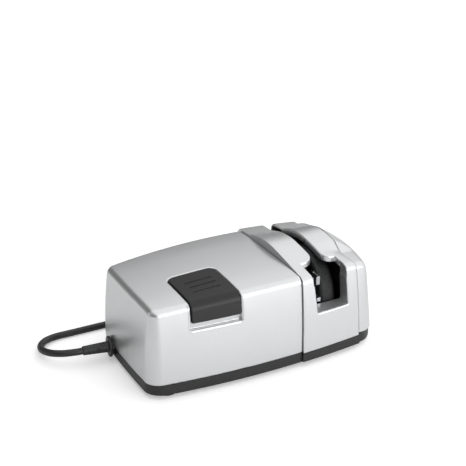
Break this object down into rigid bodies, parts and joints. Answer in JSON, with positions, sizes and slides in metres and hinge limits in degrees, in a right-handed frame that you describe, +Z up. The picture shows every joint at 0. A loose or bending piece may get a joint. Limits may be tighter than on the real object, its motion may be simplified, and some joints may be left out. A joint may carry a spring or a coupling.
{
  "type": "electric knife sharpener",
  "caption": "Table-top electric knife sharpener: silver body on a dark base, press bar on top, raised arched head with a knife slot and window over a motor-driven grinding wheel, mains cord.",
  "frame": {"origin": "on the table under the middle of the body, without the cord", "axes": "+X along the body from the cord end to the grinding head, +Y to the back, +Z up"},
  "size_m": [0.2838, 0.2204, 0.091],
  "materials": {
    "silver_paint": "satin silver paint over moulded ABS",
    "charcoal_abs": "fine spark-eroded texture",
    "button_abs": "fine matt",
    "foot_rubber": "matt",
    "screw_steel": "zinc plated",
    "spring_steel": "bright spring steel",
    "black_pa": "moulded polyamide",
    "red_pbt": "moulded",
    "zinc_sheet": "zinc plated sheet",
    "sintered_bronze": "sintered",
    "lamination_iron": "stacked sheets",
    "enamel_copper": "enamelled wire bundle",
    "commutator_copper": "turned",
    "shaft_steel": "ground",
    "phenolic": "phenolic board",
    "carbon": "pressed carbon",
    "corundum": "fine dark grey abrasive grain",
    "terminal_pa": "natural polyamide",
    "capacitor_box": "moulded box",
    "lead_pvc": "smooth PVC",
    "cord_pvc": "satin PVC",
    "pin_brass": "nickel plated brass"
  },
  "bodies": {
    "appliance": {"base": "charcoal_abs", "foot_front_left": "foot_rubber", "foot_front_right": "foot_rubber", "foot_back_left": "foot_rubber", "foot_back_right": "foot_rubber", "housing": "silver_paint", "head_cover": "silver_paint", "end_cap": "silver_paint", "base_screws": "screw_steel", "button_pin": "screw_steel", "button_spring": "spring_steel", "switch_body": "black_pa", "switch_bracket": "zinc_sheet", "bracket_rear": "zinc_sheet", "bracket_front": "zinc_sheet", "bush_rear": "sintered_bronze", "bush_front": "sintered_bronze", "stator": "lamination_iron", "field_coils": "enamel_copper", "tie_bolts": "screw_steel", "brush_carrier": "phenolic", "brushes": "carbon", "wheel_guard": "black_pa", "guide_left": "spring_steel", "guide_right": "spring_steel", "terminal_block": "terminal_pa", "cord_clamp": "black_pa", "clamp_screws": "screw_steel", "capacitor": "capacitor_box", "lead_wires": "lead_pvc", "gland": "cord_pvc", "cord_run": "cord_pvc", "cord_coil": "cord_pvc", "cord_tail": "cord_pvc", "plug_body": "cord_pvc", "plug_pins": "pin_brass"},
    "press_bar": {"button": "button_abs"},
    "rotor": {"armature_core": "lamination_iron", "armature_winding": "enamel_copper", "commutator": "commutator_copper", "motor_shaft": "shaft_steel", "fan": "black_pa", "grinding_wheel": "corundum", "wheel_flanges": "screw_steel", "wheel_nut": "screw_steel"},
    "plunger": {"switch_plunger": "red_pbt"}
  },
  "joints": [
    {"name": "button_press", "type": "hinge", "parent": "appliance", "child": "press_bar", "pos_m": [-0.051, -0.01, 0.07538], "axis": [1, 0, 0], "range_deg": [0, 5], "stiffness_Nm_per_rad": 0.8, "springref_deg": -6.88, "deforming": ["button_spring"]},
    {"name": "rotor_spin", "type": "hinge", "parent": "appliance", "child": "rotor", "pos_m": [0, -0.0065, 0.046], "axis": [1, 0, 0], "continuous": true},
    {"name": "plunger_slide", "type": "slide", "parent": "appliance", "child": "plunger", "axis": [0, 0, -1], "range_m": [0, 0.0024]}
  ],
  "couplings": [
    {"joint": "plunger_slide", "follows": "button_press", "m_per_rad": 0.027}
  ]
}
